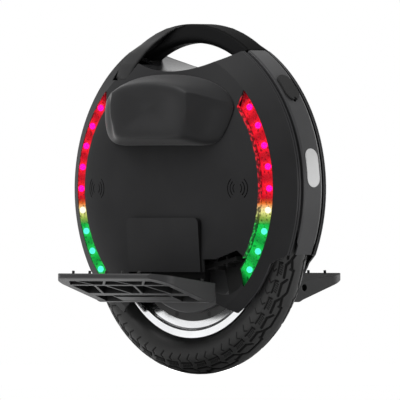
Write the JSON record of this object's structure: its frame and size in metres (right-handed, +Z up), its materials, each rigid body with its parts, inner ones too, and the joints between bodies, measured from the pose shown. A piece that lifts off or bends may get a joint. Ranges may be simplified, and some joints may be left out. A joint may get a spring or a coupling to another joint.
{
  "type": "electric unicycle",
  "caption": "Self-balancing electric unicycle: one hub-motor wheel in a round shell, fold-down pedals, knee pads, side light bars and a pull-up trolley handle.",
  "frame": {"origin": "on the ground under the axle, mid-way between the sides", "axes": "+X forward, towards the headlight; +Y to the rider's left, along the axle; +Z up"},
  "size_m": [0.464, 0.39, 0.5059],
  "materials": {
    "tyre": "moulded tread",
    "rubber": "soft black",
    "rim": "polished",
    "motor_cover": "satin grey",
    "steel": "machined",
    "shell": "satin charcoal",
    "band": "satin charcoal",
    "plate": "fine grain",
    "dark_steel": "black oxide",
    "inner_plastic": "moulded black",
    "knee_pad": "grained foam",
    "grip": "soft touch",
    "lamp_lens": "frosted",
    "tail_lens": "frosted red",
    "clear_lens": "clear",
    "led_board": "printed board",
    "pedal": "anodised dark",
    "cast": "cast, painted dark",
    "copper": "enamelled wire",
    "tube": "drawn",
    "battery": "shrink sleeve"
  },
  "bodies": {
    "frame": {"ankle_plate_left": "plate", "ankle_plate_right": "plate", "axle": "steel", "axle_nuts": "steel", "battery_left": "battery", "battery_right": "battery", "charge_socket": "inner_plastic", "control_board": "led_board", "front_cover": "band", "hanger_bolts": "steel", "headlight_lens": "lamp_lens", "heat_sink": "tube", "knee_pad_left": "knee_pad", "knee_pad_right": "knee_pad", "led_board_left_front": "led_board", "led_board_left_rear": "led_board", "led_board_right_front": "led_board", "led_board_right_rear": "led_board", "light_bar_lens_left_front": "clear_lens", "light_bar_lens_left_rear": "clear_lens", "light_bar_lens_right_front": "clear_lens", "light_bar_lens_right_rear": "clear_lens", "motor_cable": "rubber", "panel_screws": "steel", "pedal_hanger_left": "cast", "pedal_hanger_right": "cast", "pedal_pins": "steel", "rear_cover": "band", "side_panel_left": "shell", "side_panel_right": "shell", "speakers": "inner_plastic", "stator_core": "steel", "stator_windings": "copper", "tail_light_lens": "tail_lens", "top_deck": "shell", "trolley_guides": "tube", "wheel_arch": "inner_plastic"},
    "wheel": {"tyre": "tyre", "inner_tube": "rubber", "tyre_valve": "steel", "rim": "rim", "motor_cover_right": "motor_cover", "motor_cover_left": "motor_cover", "motor_cover_bolts": "dark_steel", "rotor_ring": "steel", "magnet_ring": "steel", "wheel_bearings": "steel"},
    "right_pedal": {"pedal_right": "pedal", "pedal_studs_right": "steel"},
    "left_pedal": {"pedal_left": "pedal", "pedal_studs_left": "steel"},
    "trolley": {"handle_grip": "grip", "handle_arm_right": "shell", "handle_arm_left": "shell", "trolley_rods": "tube"},
    "trolley_middle": {"trolley_middle_tubes": "tube"},
    "charge_flap": {"port_cover": "rubber"},
    "power_switch": {"power_button": "inner_plastic"}
  },
  "joints": [
    {"name": "wheel_spin", "type": "hinge", "parent": "frame", "child": "wheel", "pos_m": [0, 0, 0.2095], "axis": [0, 1, 0], "continuous": true},
    {"name": "right_pedal_fold", "type": "hinge", "parent": "frame", "child": "right_pedal", "pos_m": [0, -0.102, 0.125], "axis": [-1, 0, 0], "range_deg": [0, 80]},
    {"name": "left_pedal_fold", "type": "hinge", "parent": "frame", "child": "left_pedal", "pos_m": [0, 0.102, 0.125], "axis": [1, 0, 0], "range_deg": [0, 80]},
    {"name": "trolley_slide", "type": "slide", "parent": "frame", "child": "trolley", "axis": [0, 0, 1], "range_m": [0, 0.3]},
    {"name": "trolley_middle_slide", "type": "slide", "parent": "frame", "child": "trolley_middle", "axis": [0, 0, 1], "range_m": [0, 0.15]},
    {"name": "port_cover_hinge", "type": "hinge", "parent": "frame", "child": "charge_flap", "pos_m": [0.16684, 0, 0.43205], "axis": [0, -1, 0], "range_deg": [0, 100]},
    {"name": "power_button_press", "type": "slide", "parent": "frame", "child": "power_switch", "axis": [0, 0, -1], "range_m": [0, 0.0015], "stiffness_N_per_m": 400}
  ],
  "couplings": [
    {"joint": "trolley_middle_slide", "follows": "trolley_slide", "ratio": 0.5}
  ]
}
